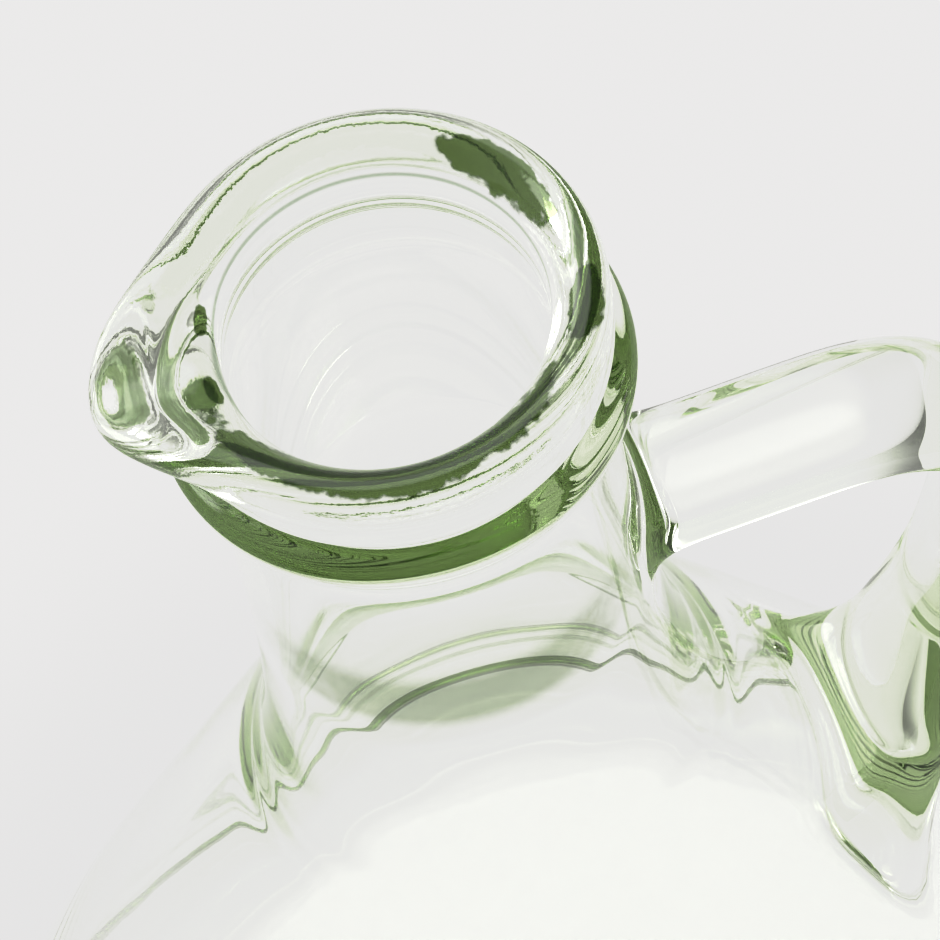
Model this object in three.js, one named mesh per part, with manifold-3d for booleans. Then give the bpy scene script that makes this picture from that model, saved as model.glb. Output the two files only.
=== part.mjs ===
// A clear, faintly green glass bottle with a handle, cast in one piece: a wide cone-shaped body,
// a round neck with a collar ring, a thick rolled lip drawn out into a pouring spout, and a strap
// handle from the neck down to the shoulder.
// Millimetres, +Z up. The origin is on the axis, at the surface that the bottle stands on.
// The handle is at +X and the spout at -X.

import * as THREE from 'three';
import { mergeVertices } from 'three/addons/utils/BufferGeometryUtils.js';
import Module from 'manifold-3d';

// whole bottle
const overallHeight = 250;
const segmentsAround = 48;

// rolled lip: its inner flank rises from a crisp mouth edge to a round crest
const mouthRadius = 20;
const mouthBelowTop = 5;
const crestRadius = 24.4;
const crestRound = 2.9;
const lipRadius = 27.3;
const lipHeight = 12.4;
const lipUnderRound = 1.8;
const lipTaper = 0.4;

// bore below the mouth, with a short lead-in
const boreRadius = 19.75;
const leadIn = 1.6;
const boreEndBelowTop = 19.6;
const boreEndRound = 1.4;
const boreEndTurn = THREE.MathUtils.degToRad(70);
const stepBelowBore = 3;

// groove and collar ring under the lip
const grooveRadius = 24.7;
const grooveEdge = 0.5;
const collarRadius = 28.9;
const collarBead = 2.7;
const collarBelowTop = 17.6;
const collarTurn = THREE.MathUtils.degToRad(130);

// neck, outside
const neckRadius = 24.1;
const neckBelowTop = 20.4;
const neckSlope = 0.022;

// body, outside: a straight cone with a rounded heel, on a bearing ring round a shallow push-up
const coneSlope = 0.4615;
const coneApexBelowTop = 38.7;
const heelRound = 7;
const bearingInner = 66;
const pushUp = 3;
const shoulderTopBelowTop = 68;
const shoulderEndBelowTop = 109;

// thickness of the glass
const neckWall = 3.2;
const coneWall = 3.8;
const floorThickness = 5.5;
const innerHeelRound = 7;

// pouring spout, at -X
const spoutReach = 8.4;
const spoutHalfAngle = THREE.MathUtils.degToRad(24);
const channelDepth = 4.4;
const channelHalfWidth = 6.8;
const channelRunOut = 9;
const throatPinch = 0.9;
const throatDip = 0.3;

// strap handle, at +X
const strapWidth = 19.5;
const strapThickness = 9.6;
const strapBelowTop = 60.5;
const strapSteps = 26;
const strapFlare = 0.28;
const strapFlareLength = 8;

const glass = new THREE.MeshStandardMaterial({
  name: 'glass',
  color: 0xdfe8dc,
  roughness: 0.05,
  metalness: 0,
  transparent: true,
  opacity: 0.35,
});

const down = (distance) => overallHeight - distance;

// radius of the cone's outside at a height
const coneAt = (height) => coneSlope * (down(coneApexBelowTop) - height);

// radius of the neck's outside at a height
const neckAt = (height) => neckRadius + neckSlope * (down(neckBelowTop) - height);

// height at which the lines of the neck and the cone cross
const crossing = (() => {
  const gap = coneSlope * down(coneApexBelowTop) - neckRadius - neckSlope * down(neckBelowTop);
  return gap / (coneSlope - neckSlope);
})();

// the cone's angle from the axis
const coneAngle = Math.atan(coneSlope);

function arc(centreRadius, centreHeight, round, fromAngle, toAngle, steps) {
  const clockwise = toAngle < fromAngle;
  const curve = new THREE.EllipseCurve(
    centreRadius, centreHeight, round, round, fromAngle, toAngle, clockwise,
  );
  return curve.getPoints(steps);
}

function bend(start, control, end, steps) {
  return new THREE.QuadraticBezierCurve(start, control, end).getPoints(steps);
}

const at = (radius, height) => new THREE.Vector2(radius, height);

// middle of the arc that rounds the corner between a level floor and the cone's wall
const heelMiddle = (wallRadiusAtFloor, round) => (
  wallRadiusAtFloor - round * (1 + Math.sin(coneAngle)) / Math.cos(coneAngle)
);

// push-up, heel, cone and shoulder, going up the outside
function outsideBelowNeck() {
  const shoulderEnd = down(shoulderEndBelowTop);
  const shoulderTop = down(shoulderTopBelowTop);
  return [
    ...bend(at(0, pushUp), at(bearingInner / 2, pushUp), at(bearingInner, 0), 4),
    ...arc(heelMiddle(coneAt(0), heelRound), heelRound, heelRound, -Math.PI / 2, coneAngle, 6),
    ...bend(at(coneAt(shoulderEnd), shoulderEnd), at(neckAt(crossing), crossing),
      at(neckAt(shoulderTop), shoulderTop), 6),
  ];
}

// collar ring, groove and lip, going up the outside and over to the mouth's edge
function collarAndLip() {
  const collarMiddle = collarRadius - collarBead;
  const lipUnder = down(lipHeight);
  const crestMiddle = down(crestRound);
  const toCrest = Math.atan2(crestMiddle - down(mouthBelowTop), crestRadius - mouthRadius);
  const away = Math.hypot(crestMiddle - down(mouthBelowTop), crestRadius - mouthRadius);
  const flank = toCrest + Math.asin(crestRound / away);
  return [
    at(neckRadius, down(neckBelowTop)),
    ...arc(collarMiddle, down(collarBelowTop), collarBead, -collarTurn, collarTurn, 8),
    at(grooveRadius, lipUnder - grooveEdge),
    ...arc(lipRadius - lipUnderRound - lipTaper, lipUnder + lipUnderRound, lipUnderRound,
      -Math.PI / 2, 0, 3),
    ...arc(crestRadius, crestMiddle, crestRound, 0, flank + Math.PI / 2, 9),
    at(mouthRadius, down(mouthBelowTop)),
  ];
}

// bore, the wider neck below it, the inside of the cone and the floor, going down
function inside() {
  const boreEnd = down(boreEndBelowTop);
  const neckTop = boreEnd - stepBelowBore;
  const shoulderTop = down(shoulderTopBelowTop);
  const shoulderEnd = down(shoulderEndBelowTop);
  const inward = coneWall / Math.cos(coneAngle);
  const heel = heelMiddle(coneAt(floorThickness) - inward, innerHeelRound);
  return [
    at(boreRadius, down(mouthBelowTop + leadIn)),
    ...arc(boreRadius + boreEndRound, boreEnd, boreEndRound, Math.PI, Math.PI + boreEndTurn, 3),
    at(neckAt(neckTop) - neckWall, neckTop),
    ...bend(at(neckAt(shoulderTop) - neckWall, shoulderTop),
      at(neckAt(crossing) - neckWall, crossing),
      at(coneAt(shoulderEnd) - inward, shoulderEnd), 6),
    ...arc(heel, floorThickness + innerHeelRound, innerHeelRound, coneAngle, -Math.PI / 2, 5),
    ...bend(at(bearingInner, floorThickness), at(bearingInner / 2, floorThickness + pushUp),
      at(0, floorThickness + pushUp), 4),
  ];
}

const bell = (value) => Math.exp(-(value ** 2));
const ease = THREE.MathUtils.smoothstep;

// draws the lip out to the spout and sinks a channel into its top
function pour(geometry) {
  const position = geometry.attributes.position;
  const point = new THREE.Vector3();
  for (let i = 0; i < position.count; i += 1) {
    point.fromBufferAttribute(position, i);
    const radius = Math.hypot(point.x, point.y);
    const towards = bell(Math.atan2(point.y, -point.x) / spoutHalfAngle);
    const high = ease(point.z, down(lipHeight + 1), down(mouthBelowTop - 2));
    const outer = ease(radius, boreRadius, lipRadius - 1);
    const pull = towards * high * (spoutReach * outer - throatPinch * (1 - outer));
    const spread = (radius + pull) / Math.max(radius, 1);
    const top = THREE.MathUtils.clamp((point.z - down(channelRunOut)) / channelRunOut, 0, 1);
    const share = throatDip + (1 - throatDip) * ease(radius, mouthRadius, crestRadius);
    const inChannel = ease(-point.x, 4, mouthRadius) * bell(point.y * spread / channelHalfWidth);
    const dip = channelDepth * inChannel * top * share;
    position.setXYZ(i, point.x * spread, point.y * spread, point.z - dip);
  }
}

function bottleWall() {
  const outline = [...outsideBelowNeck(), ...collarAndLip(), ...inside()];
  const geometry = new THREE.LatheGeometry(outline, segmentsAround);
  geometry.rotateX(Math.PI / 2);
  pour(geometry);
  return geometry;
}

// centre line of the strap, from inside the neck's wall to inside the shoulder's
function strapLine() {
  const arm = down(strapBelowTop);
  const place = (x, height) => new THREE.Vector3(x, 0, height);
  return new THREE.CatmullRomCurve3([
    place(23.6, arm - 1),
    place(32, arm - 0.4),
    place(43, arm + 0.2),
    place(53, arm + 0.6),
    place(62.5, arm - 2),
    place(68.8, arm - 9),
    place(69.8, arm - 19),
    place(67, arm - 32),
    place(62.8, arm - 47),
    place(57.8, arm - 63),
    place(52, arm - 76),
    place(45.5, arm - 87),
  ]);
}

// the strap's section, drawn straight and then laid along its centre line, wider at both ends,
// with its upper end curved to follow the neck
function strap() {
  const section = new THREE.Shape();
  section.absellipse(0, 0, strapThickness / 2, strapWidth / 2, 0, 2 * Math.PI, false);
  const geometry = new THREE.ExtrudeGeometry(section, {
    depth: 1, steps: strapSteps, bevelEnabled: false, curveSegments: 8,
  });
  const line = strapLine();
  const length = line.getLength();
  const position = geometry.attributes.position;
  const across = new THREE.Vector3(0, 1, 0);
  for (let i = 0; i < position.count; i += 1) {
    const along = THREE.MathUtils.clamp(position.getZ(i), 0, 1);
    const fromEnd = Math.min(along, 1 - along) * length;
    const spread = 1 - ease(fromEnd, 0, strapFlareLength);
    const flare = 1 + strapFlare * spread;
    const hug = along < 0.5 ? spread * (position.getY(i) * flare) ** 2 / (2 * neckRadius) : 0;
    const outward = new THREE.Vector3().crossVectors(across, line.getTangentAt(along));
    const place = line.getPointAt(along)
      .addScaledVector(outward, position.getX(i) * flare)
      .addScaledVector(across, position.getY(i) * flare);
    position.setXYZ(i, place.x - hug, place.y, place.z);
  }
  return geometry;
}

const wasm = await Module();
wasm.setup();

function solidOf(geometry) {
  const bare = geometry.clone();
  bare.deleteAttribute('normal');
  bare.deleteAttribute('uv');
  const merged = mergeVertices(bare, 1e-4);
  const solid = new wasm.Manifold(new wasm.Mesh({
    numProp: 3,
    vertProperties: new Float32Array(merged.attributes.position.array),
    triVerts: new Uint32Array(merged.index.array),
  }));
  return solid;
}

function geometryOf(solid) {
  const mesh = solid.getMesh();
  const geometry = new THREE.BufferGeometry();
  geometry.setAttribute('position', new THREE.BufferAttribute(mesh.vertProperties, 3));
  geometry.setIndex(new THREE.BufferAttribute(mesh.triVerts, 1));
  geometry.computeVertexNormals();
  return geometry;
}

function bottle() {
  const solid = solidOf(bottleWall()).add(solidOf(strap()));
  const mesh = new THREE.Mesh(geometryOf(solid), glass);
  mesh.name = 'bottle';
  return mesh;
}

const model = new THREE.Group();
model.add(bottle());

export default model;
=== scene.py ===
import math

import bmesh
import bpy
from mathutils import Matrix, Vector


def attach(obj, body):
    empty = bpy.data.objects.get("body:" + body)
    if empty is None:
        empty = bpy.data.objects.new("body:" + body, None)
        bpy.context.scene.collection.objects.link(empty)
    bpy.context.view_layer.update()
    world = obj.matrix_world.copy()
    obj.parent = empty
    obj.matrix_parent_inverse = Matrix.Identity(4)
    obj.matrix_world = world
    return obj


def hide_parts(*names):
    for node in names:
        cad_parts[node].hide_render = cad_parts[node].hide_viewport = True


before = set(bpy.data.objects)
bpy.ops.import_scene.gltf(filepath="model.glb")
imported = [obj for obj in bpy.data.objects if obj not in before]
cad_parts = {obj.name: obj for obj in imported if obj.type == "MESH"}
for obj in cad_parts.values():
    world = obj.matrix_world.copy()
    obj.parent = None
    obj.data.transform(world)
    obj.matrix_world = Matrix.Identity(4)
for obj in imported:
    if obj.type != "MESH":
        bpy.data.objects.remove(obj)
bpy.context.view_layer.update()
mm = 0.001


# camera, at the photograph's angle

cameraSpot = {
    "place": (-0.02447, -0.40011, 0.88629),
    "right": (0.94873666, -0.28904333, -0.12787766),
    "up": (0.31374561, 0.81229185, 0.49167635),
    "lens": 248.94,
    "clip": (0.05, 50),
}


def addCamera():
    right, up = Vector(cameraSpot["right"]), Vector(cameraSpot["up"])
    camera = bpy.data.objects.new("camera", bpy.data.cameras.new("camera"))
    bpy.context.scene.collection.objects.link(camera)
    turn = Matrix((right, up, right.cross(up))).transposed()
    camera.matrix_world = Matrix.Translation(cameraSpot["place"]) @ turn.to_4x4()
    camera.data.lens = cameraSpot["lens"]
    camera.data.clip_start, camera.data.clip_end = cameraSpot["clip"]
    bpy.context.scene.camera = camera


addCamera()
print("camera set")


# bottle wall: one closed outline, spun round the axis
# rows are radii and heights in millimetres, up the outside, over the lip and down the inside

wall = {
    "segments": 48,
    "top": 250,
    "coneSlope": 0.4615,
    "coneTip": 211.3,
    "push": 3,
    "pushRows": ((0, 1), (14, 0.97), (32, 0.8), (50, 0.35)),    # radius and share of the push-up
    "ringRows": ((62, 0.12), (66, 0)),
    "heel": 7,
    "heelSteps": 5,
    "coneRows": (24, 34, 44, 54, 64, 76, 87, 97.5, 104.2, 110.8, 117.5, 123.5, 130, 136, 140.5,
                 143),
    "shoulder": ((31.0, 144.5), (30.0, 147.1), (29.1, 150), (28.3, 153.5), (27.3, 158.5),
                 (26.4, 165), (25.6, 174)),
    "neckRows": (184.1, 187.6, 191.1, 194.6, 203, 211, 218),
    "neckRadius": 24.1,
    "neckSlope": 0.022,
    "neckTop": 229.6,
    "collar": ((24.35, 223.5), (25.0, 226.2), (26.6, 228.9), (28.1, 230.6), (28.85, 231.9),
               (28.85, 233.0), (28.1, 234.4), (26.6, 235.1), (25.3, 235.4)),
    "groove": ((24.7, 235.9), (24.7, 237.1), (24.85, 237.5)),
    "lipUnder": (25.1, 239.4, 1.8, -80, 0, 3),      # an arc's middle, size, angles and steps
    "lipSide": ((27.1, 242.0), (27.3, 244.6)),
    "crest": ((27.35, 246.2), (27.3, 247.7), (26.95, 248.9), (26.2, 249.7), (25.2, 250.05),
              (24.1, 250.05), (23.0, 249.5), (21.9, 248.4), (20.9, 246.9), (20.3, 245.7)),
    "mouth": ((20.1, 245.15), (20, 244.85)),
    "boreRings": ((19.95, 243.6), (19.95, 243.2), (19.75, 242.7), (19.75, 240.5), (19.5, 239.7),
                  (19.5, 239.1), (19.75, 238.3), (19.75, 233.3), (19.9, 232.9), (19.75, 232.5)),
    "boreEnd": (21.15, 230.4, 1.4, 180, 250, 3),    # an arc too
    "neckIn": ((20.7, 226.5), (20.85, 219), (21.1, 210), (21.4, 201), (21.7, 192), (22.05, 183),
               (22.5, 174), (23.2, 166), (24.0, 159), (25.0, 153), (26.2, 148), (27.9, 142.5)),
    "coneWall": 3.8,
    "coneRowsIn": (136, 130, 123, 112, 100, 88, 76, 64, 54, 44, 34),
    "innerHeel": 14,
    "innerHeelSteps": 4,
    "floor": 5.5,
    "floorEdge": 66,
    "weld": 0.02,
    "smoothing": 2,
}


def arc(centreRadius, centreHeight, size, fromAngle, toAngle, steps):
    turns = [math.radians(fromAngle + (toAngle - fromAngle) * i / steps) for i in range(steps + 1)]
    return [(centreRadius + size * math.cos(t), centreHeight + size * math.sin(t)) for t in turns]


def coneAt(height):
    return wall["coneSlope"] * (wall["coneTip"] - height)


def neckAt(height):
    return wall["neckRadius"] + wall["neckSlope"] * (wall["neckTop"] - height)


def heelMiddle(radius, size, lean):
    # middle of the arc between the wall of a cone and its level floor
    return radius - size * (1 + math.sin(lean)) / math.cos(lean)


def outsideRows():
    lean = math.atan(wall["coneSlope"])
    heel = wall["heel"]
    rows = [(radius, wall["push"] * share) for radius, share in wall["pushRows"]]
    rows += wall["ringRows"]
    rows += arc(heelMiddle(coneAt(0), heel, lean), heel, heel, -90, math.degrees(lean),
                wall["heelSteps"])
    rows += [(coneAt(height), height) for height in wall["coneRows"]]
    rows += wall["shoulder"]
    rows += [(neckAt(height), height) for height in wall["neckRows"]]
    rows += wall["collar"] + wall["groove"]
    return rows + arc(*wall["lipUnder"]) + list(wall["lipSide"] + wall["crest"] + wall["mouth"])


def insideRows():
    lean = math.atan(wall["coneSlope"])
    inward = wall["coneWall"] / math.cos(lean)
    heel, floor = wall["innerHeel"], wall["floor"]
    rows = list(wall["boreRings"]) + arc(*wall["boreEnd"]) + list(wall["neckIn"])
    rows += [(coneAt(height) - inward, height) for height in wall["coneRowsIn"]]
    rows += arc(heelMiddle(coneAt(floor) - inward, heel, lean), floor + heel, heel,
                math.degrees(lean), -90, wall["innerHeelSteps"])
    rows += [(wall["floorEdge"], floor)]
    return rows + [(r, floor + wall["push"] * share) for r, share in reversed(wall["pushRows"])]


def spinWall(mesh):
    # subdivision draws the rings in a little, which the wider radii make up for
    inwards = (2 + math.cos(2 * math.pi / wall["segments"])) / 3
    rows = outsideRows() + insideRows()
    dots = [mesh.verts.new((radius * mm / inwards, 0, height * mm)) for radius, height in rows]
    lines = [mesh.edges.new(pair) for pair in zip(dots, dots[1:])]
    bmesh.ops.spin(mesh, geom=dots + lines, cent=(0, 0, 0), axis=(0, 0, 1), angle=2 * math.pi,
                   steps=wall["segments"], use_merge=True, use_duplicate=False)
    bmesh.ops.remove_doubles(mesh, verts=mesh.verts, dist=wall["weld"] * mm)


# pouring spout at -X: lengths in millimetres, spread in degrees

spout = {
    "reach": 8.4,
    "spread": 24,
    "pinch": 0.9,
    "outer": (19.75, 26.3),     # radii over which the pull grows
    "from": 236,
    "rise": (236.6, 247),
    "depth": 4.4,
    "width": 6.8,
    "runOut": 9,
    "throat": 0.3,
    "flank": (20, 24.4),        # radii over which the channel deepens
    "entry": (4, 20),
}


def bell(value):
    return math.exp(-value * value)


def ease(value, low, high):
    t = min(max((value - low) / (high - low), 0), 1)
    return t * t * (3 - 2 * t)


def drawSpout(mesh):
    # pulls the lip out and sinks a channel into its top
    for v in mesh.verts:
        x, y, z = v.co / mm
        if z < spout["from"]:
            continue
        radius = math.hypot(x, y)
        towards = bell(math.degrees(math.atan2(y, -x)) / spout["spread"])
        outer = ease(radius, *spout["outer"])
        pull = towards * ease(z, *spout["rise"])
        pull *= spout["reach"] * outer - spout["pinch"] * (1 - outer)
        spread = (radius + pull) / radius
        upper = min(max((z - wall["top"] + spout["runOut"]) / spout["runOut"], 0), 1)
        share = spout["throat"] + (1 - spout["throat"]) * ease(radius, *spout["flank"])
        channel = ease(-x, *spout["entry"]) * bell(y * spread / spout["width"])
        dip = spout["depth"] * channel * upper * share
        v.co = Vector((x * spread, y * spread, z - dip)) * mm


# strap handle at +X: rings along a centre line, bridged to a hole in the neck and one in the cone

strap = {
    "width": 19.5,
    "thickness": 9.6,
    "square": 2.4,      # 2 is a plain oval
    "line": ((27.6, 189.3), (34, 189.4), (40, 189.7), (47, 190.0), (53.5, 190.1), (59, 188.9),
             (63.8, 186.0), (67.4, 181.6), (69.4, 176), (69.9, 169.5), (68.6, 162), (66.4, 153.5),
             (63.8, 144.5), (60.8, 135.5), (57.6, 126.8), (54.2, 118.5)),
    "footFlare": 0.35,
    "flareSteps": 3,
    "neckPatch": (184.1, 194.6, 22.5, 1),       # heights, half angle, and depth that is left alone
    "footPatch": (97.5, 117.5, 22.5, 2),
}


def openPatch(mesh, outside, low, high, halfAngle, depth):
    # takes the outer faces away where the strap joins, and gives the edge of the hole
    faces = []
    for f in mesh.faces:
        x, y, z = f.calc_center_median() / mm
        near = x > 0 and low < z < high and abs(math.degrees(math.atan2(y, x))) < halfAngle
        if near and math.hypot(x, y) > outside(z) - depth:
            faces.append(f)
    edges = {e for f in faces for e in f.edges if sum(g in faces for g in e.link_faces) == 1}
    bmesh.ops.delete(mesh, geom=faces, context="FACES")
    return [e for e in edges if e.is_valid]


def strapPlaces():
    # where each ring of the strap stands, square to its centre line and wider towards the foot
    line = [Vector((x, 0, z)) * mm for x, z in strap["line"]]
    last = len(line) - 1
    across = Vector((0, 1, 0))
    places = []
    for i, spot in enumerate(line):
        along = (line[min(i + 1, last)] - line[max(i - 1, 0)]).normalized()
        size = 1 + strap["footFlare"] * ease(i, last - strap["flareSteps"], last)
        turn = Matrix((across.cross(along) * size, across * size, along)).transposed()
        places.append(Matrix.Translation(spot) @ turn.to_4x4())
    return places


def squareRing(ring):
    # turns a circle into the strap's section, a flat oval with squarer ends
    power = 2 / strap["square"]
    for v in ring:
        turn = math.atan2(v.co.y, v.co.x)
        c, s = math.cos(turn), math.sin(turn)
        v.co.x = math.copysign(abs(c) ** power, c) * strap["thickness"] / 2 * mm
        v.co.y = math.copysign(abs(s) ** power, s) * strap["width"] / 2 * mm


def addStrap(mesh, neckHole, footHole):
    places = strapPlaces()
    ring = bmesh.ops.create_circle(mesh, segments=len(neckHole), radius=1, matrix=Matrix())["verts"]
    squareRing(ring)
    bmesh.ops.transform(mesh, matrix=places[0], verts=ring)
    first = edges = list({e for v in ring for e in v.link_edges})
    for before, after in zip(places, places[1:]):
        more = bmesh.ops.extrude_edge_only(mesh, edges=edges)["geom"]
        ring = {g for g in more if isinstance(g, bmesh.types.BMVert)}
        edges = [g for g in more if isinstance(g, bmesh.types.BMEdge) and ring.issuperset(g.verts)]
        bmesh.ops.transform(mesh, matrix=after @ before.inverted(), verts=list(ring))
    bmesh.ops.bridge_loops(mesh, edges=neckHole + first)
    bmesh.ops.bridge_loops(mesh, edges=footHole + edges)


def makeBottle():
    mesh = bmesh.new()
    spinWall(mesh)
    neckHole = openPatch(mesh, neckAt, *strap["neckPatch"])
    footHole = openPatch(mesh, coneAt, *strap["footPatch"])
    drawSpout(mesh)
    addStrap(mesh, neckHole, footHole)
    bmesh.ops.remove_doubles(mesh, verts=mesh.verts, dist=wall["weld"] * mm)
    bmesh.ops.recalc_face_normals(mesh, faces=mesh.faces)
    print("open edges in the glass:", sum(len(e.link_faces) != 2 for e in mesh.edges))
    data = bpy.data.meshes.new("bottleGlass")
    mesh.to_mesh(data)
    mesh.free()
    for f in data.polygons:
        f.use_smooth = True
    piece = bpy.data.objects.new("bottleGlass", data)
    bpy.context.scene.collection.objects.link(piece)
    smooth = piece.modifiers.new("smooth", "SUBSURF")
    smooth.levels = smooth.render_levels = wall["smoothing"]
    return piece


bottle = makeBottle()
print("bottle shaped:", len(bottle.data.polygons), "faces before smoothing")


# shader maths: a wrapped socket takes part in sums, and add() makes any other node

class Shade:
    def __init__(self, tree, socket):
        self.tree, self.socket = tree, socket

    def math(self, operation, *parts):
        return add(self.tree, "ShaderNodeMath", {"operation": operation}, *parts)

    def __add__(self, other):
        return self.math("ADD", self, other)

    def __sub__(self, other):
        return self.math("SUBTRACT", self, other)

    def __rsub__(self, other):
        return self.math("SUBTRACT", other, self)

    def __mul__(self, other):
        return self.math("MULTIPLY", self, other)

    __radd__, __rmul__ = __add__, __mul__


def add(tree, kind, settings, *parts, out=0, **named):
    # a node with its settings, then its sockets in order or by name, as values or links
    node = tree.nodes.new(kind)
    for name, value in settings.items():
        setattr(node, name, value)
    sockets = list(enumerate(parts)) + [(key.replace("_", " "), named[key]) for key in named]
    for key, value in sockets:
        if isinstance(value, Shade):
            tree.links.new(value.socket, node.inputs[key])
        else:
            node.inputs[key].default_value = value
    return Shade(tree, node.outputs[out]) if node.outputs else node


def vectorMath(tree, operation, *parts, out=0):
    return add(tree, "ShaderNodeVectorMath", {"operation": operation}, *parts, out=out)


def noise(tree, spot, scale, detail):
    return add(tree, "ShaderNodeTexNoise", {}, Vector=spot, Scale=scale, Detail=detail)


def blend(tree, share, low, high):
    # two colours, mixed by a value that runs from 0 to 1
    tone = add(tree, "ShaderNodeMix", {"data_type": "RGBA"}, share, out=2)
    for place, colour in ((6, low), (7, high)):     # the Mix node's colour sockets
        socket = tone.socket.node.inputs[place]
        if isinstance(colour, Shade):
            tree.links.new(colour.socket, socket)
        else:
            socket.default_value = colour
    return tone


def rise(tree, value, edges):
    # from 0 to 1 between two edges
    smooth = {"interpolation_type": "SMOOTHSTEP"}
    return add(tree, "ShaderNodeMapRange", smooth, value, *edges, 0.0, 1.0)


def between(tree, value, edges):
    # 1 inside four edges: low, low in full, high in full, high
    return rise(tree, value, edges[:2]) - rise(tree, value, edges[2:])


# clear glass, faintly green where light runs a long way in it
# each noise is its scale and detail, the grain's rise is in metres and the edges in millimetres

glassLook = {
    "clear": (1.0, 1.0, 1.0, 1),
    "clearToo": (0.992, 0.996, 0.99, 1),
    "cloud": (30.0, 2.0),
    "index": 1.5,
    "depthTint": (0.53, 0.65, 0.33, 1),
    "depthDensity": 12,
    "grain": (900.0, 3.0),
    "grainShare": 0.7,
    "grainRise": (0.2395, 0.2465),
    "swell": (45.0, 1.0),
    "swellShare": 0.6,
    "drawn": (1.0, 1.0, 0.3),
    "unevenness": 0.04,
    "edgeTint": (0.3, 0.36, 0.28, 1),
    "edgeHeights": (244.35, 244.95, 245.05, 245.6),
    "edgeRadius": (20.3, 20.7),
}


# painted refractions: dark green patches of painted shade that stand in for light bent inside the
# thick glass, in two groups with ragged edges each patch is its angle round the axis and spread in
# degrees, then its radius and half width

paintedRefractionLook = {
    "ragged": (500.0, 3.0),
    "lip": {
        "tint": (0.035, 0.072, 0.010, 1),
        "heights": (243.8, 244.6, 255, 256),
        "fray": 1.3,
        "edge": (0.0, 0.3),
        "paintedPatches": ((31, 26, 22.6, 2.2), (338, 13, 24.6, 2.3), (258, 68, 23.5, 3.2),
                  (161, 6, 21.0, 0.8), (187, 7, 21.2, 0.9)),
    },
    "neck": {
        "tint": (0.37, 0.42, 0.32, 1),
        "heights": (189.0, 192.5, 199.0, 204),
        "fray": 0.5,
        "edge": (0.0, 0.9),
        "paintedPatches": ((258, 78, 24.8, 2.0),),
    },
}


def aroundAxis(tree, spot):
    # distance from the axis in millimetres, and the level direction away from it
    level = vectorMath(tree, "MULTIPLY", spot, (1 / mm, 1 / mm, 0.0))
    return vectorMath(tree, "LENGTH", level, out=1), vectorMath(tree, "NORMALIZE", level)


def paintedRefractionMask(tree, radius, side, ragged, look):
    # where one group of painted refraction patches lies
    reach = None
    for angle, spread, middle, width in look["paintedPatches"]:
        turn = math.radians(angle)
        way = (math.cos(turn), math.sin(turn), 0.0)
        along = 1 - vectorMath(tree, "DOT_PRODUCT", side, way, out=1)
        along = along * (1 / (1 - math.cos(math.radians(spread))))
        off = (radius - middle) * (1 / width)
        inside = 1 - along - off * off
        reach = inside if reach is None else reach.math("MAXIMUM", reach, inside)
    return rise(tree, reach + (ragged - 0.5) * look["fray"], look["edge"])


def glassTone(tree, spot, tall):
    # nearly white, with a darker line at the mouth's edge and the painted refractions, dark green
    # patches that stand in for light bent in the glass
    cloud = noise(tree, spot, *glassLook["cloud"])
    tone = blend(tree, cloud, glassLook["clear"], glassLook["clearToo"])
    radius, side = aroundAxis(tree, spot)
    mouthEdge = between(tree, tall, glassLook["edgeHeights"])
    mouthEdge = mouthEdge * (1 - rise(tree, radius, glassLook["edgeRadius"]))
    tone = blend(tree, mouthEdge, tone, glassLook["edgeTint"])
    ragged = noise(tree, spot, *paintedRefractionLook["ragged"])
    # paints each group of dark green refraction patches into the colour, painted shade for light
    # bent in the glass
    for look in (paintedRefractionLook["lip"], paintedRefractionLook["neck"]):
        share = paintedRefractionMask(tree, radius, side, ragged, look) * between(tree, tall, look["heights"])
        tone = blend(tree, share, tone, look["tint"])
    return tone


def glassBump(tree, spot, upward):
    # slow waves all over, drawn out along the bottle, and a fine grain on the lip
    grain = noise(tree, spot, *glassLook["grain"])
    onLip = add(tree, "ShaderNodeMapRange", {}, upward, *glassLook["grainRise"], 0.0,
                glassLook["grainShare"])
    drawn = vectorMath(tree, "MULTIPLY", spot, glassLook["drawn"])
    swell = noise(tree, drawn, *glassLook["swell"])
    height = grain * onLip + swell * glassLook["swellShare"]
    return add(tree, "ShaderNodeBump", {}, Strength=glassLook["unevenness"], Distance=mm,
               Height=height)


def makeGlass():
    glass = bpy.data.materials.new("clearGlass")
    glass.use_nodes = True
    tree = glass.node_tree
    tree.nodes.clear()
    spot = add(tree, "ShaderNodeTexCoord", {}, out="Object")
    upward = add(tree, "ShaderNodeSeparateXYZ", {}, spot, out=2)
    surface = add(tree, "ShaderNodeBsdfPrincipled", {}, Roughness=0.0, IOR=glassLook["index"],
                  Base_Color=glassTone(tree, spot, upward * (1 / mm)), Transmission_Weight=1.0,
                  Normal=glassBump(tree, spot, upward))
    depth = add(tree, "ShaderNodeVolumeAbsorption", {}, Color=glassLook["depthTint"],
                Density=glassLook["depthDensity"])
    add(tree, "ShaderNodeOutputMaterial", {}, Surface=surface, Volume=depth)
    return glass


bottle.data.materials.append(makeGlass())
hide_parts("bottle")
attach(bottle, "root")
print("glass made")


# stage: a pale floor that gives off its own light, and a softly lit room without lamps

stageLook = {
    "floorHalf": 6,
    "floorTone": (0.835, 0.826, 0.822, 1),
    "paintedLightPoolTone": (0.87, 0.863, 0.858, 1),        # painted pool of light under the glass
    "shadeTone": (0.76, 0.752, 0.748, 1),       # round its foot
    "paintedLightPoolFade": (0.082, 0.094),
    "shadeFade": (0.094, 0.15),
    "skyLow": (0.25, 0.25, 0.245, 1),
    "sky": ((-0.65, 0.7, 0.25), (0.1, 0.8), (0.95, 0.945, 0.94, 1)),    # side, edges and tone
    "window": ((-0.68, 0.545, 0.49), (0.90, 0.935), (6.0, 5.98, 5.9, 1)),
    "skylight": ((-0.08, 0.51, 0.857), (0.86, 0.96), (3.0, 3.0, 2.97, 1)),
}


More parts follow.
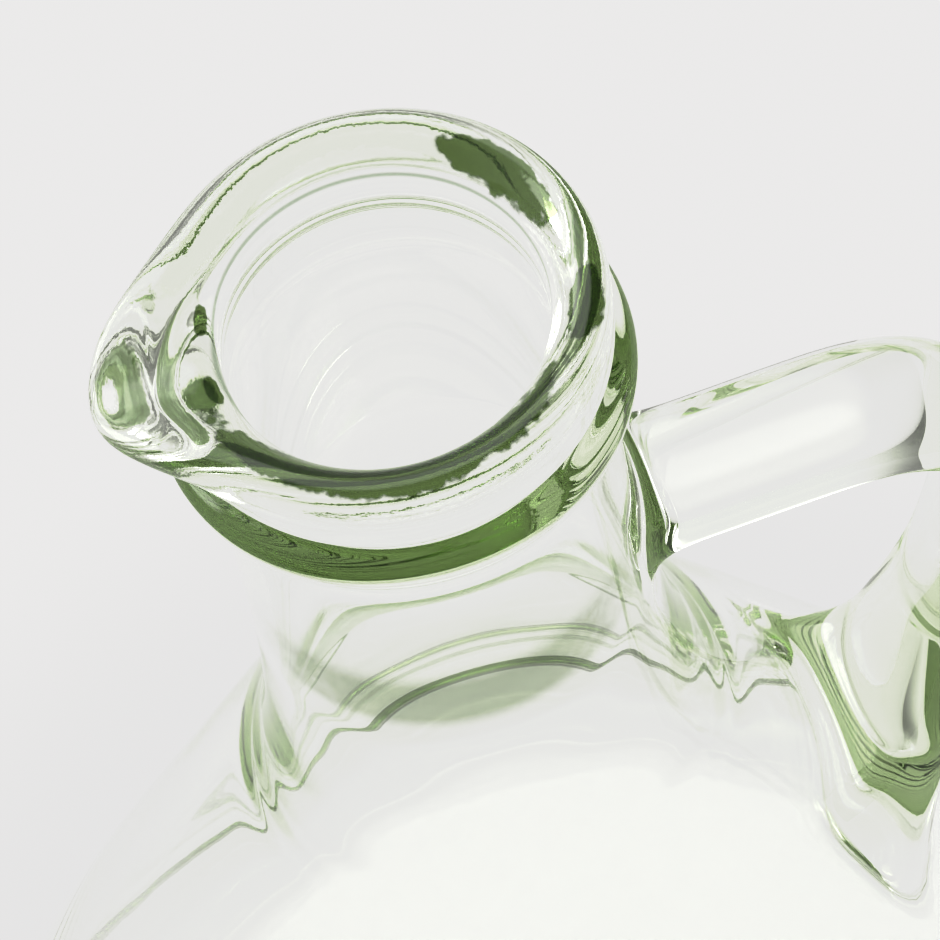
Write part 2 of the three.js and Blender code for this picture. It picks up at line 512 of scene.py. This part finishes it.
def makeStage():
    # lit evenly from below like a light table, with a painted pool of light under the glass and
    # painted shade round its foot
    mesh = bmesh.new()
    bmesh.ops.create_grid(mesh, x_segments=1, y_segments=1, size=stageLook["floorHalf"])
    data = bpy.data.meshes.new("floor")
    mesh.to_mesh(data)
    mesh.free()
    floor = bpy.data.objects.new("floor", data)
    bpy.context.scene.collection.objects.link(floor)
    paper = bpy.data.materials.new("paleFloor")
    paper.use_nodes = True
    tree = paper.node_tree
    tree.nodes.clear()
    away = vectorMath(tree, "LENGTH", add(tree, "ShaderNodeTexCoord", {}, out="Object"), out=1)
    shaded = rise(tree, away, stageLook["shadeFade"])
    tone = blend(tree, shaded, stageLook["shadeTone"], stageLook["floorTone"])
    # a painted pool of light under the glass, standing in for light the glass would focus there
    tone = blend(tree, rise(tree, away, stageLook["paintedLightPoolFade"]), stageLook["paintedLightPoolTone"], tone)
    lit = add(tree, "ShaderNodeEmission", {}, Color=tone)
    add(tree, "ShaderNodeOutputMaterial", {}, Surface=lit)
    paper.cycles.emission_sampling = "NONE"
    data.materials.append(paper)


def lightRoom():
    # a room that is bright on the window's side, with the window and a skylight as soft fields
    world = bpy.data.worlds.new("room")
    bpy.context.scene.world = world
    world.use_nodes = True
    tree = world.node_tree
    tree.nodes.clear()
    way = add(tree, "ShaderNodeTexCoord", {})
    tone = stageLook["skyLow"]
    for side, edges, bright in (stageLook["sky"], stageLook["window"], stageLook["skylight"]):
        towards = vectorMath(tree, "DOT_PRODUCT", way, side, out=1)
        tone = blend(tree, rise(tree, towards, edges), tone, bright)
    sky = add(tree, "ShaderNodeBackground", {}, Color=tone, Strength=1.0)
    add(tree, "ShaderNodeOutputWorld", {}, Surface=sky)
    world.cycles.sampling_method = "NONE"


makeStage()
lightRoom()
print("stage lit")


# the bright, crisp look of a high-key picture, and enough bounces for light inside thick glass

pictureLook = {
    "exposure": -0.05,
    "toneCurve": ((0.1, 0.065), (0.25, 0.19), (0.4, 0.37), (0.55, 0.62), (0.68, 0.775),
                  (0.785, 0.825)),
    "bounces": 160,
}


def setPicture(scene):
    view, light = scene.view_settings, scene.cycles
    view.view_transform = "Standard"
    view.exposure = pictureLook["exposure"]
    view.use_curve_mapping = True
    for level in pictureLook["toneCurve"]:
        view.curve_mapping.curves[3].points.new(*level)     # the curve of all three colours
    view.curve_mapping.update()
    light.max_bounces = light.transmission_bounces = light.glossy_bounces = pictureLook["bounces"]
    light.diffuse_bounces = 0


setPicture(bpy.context.scene)
print("picture set")
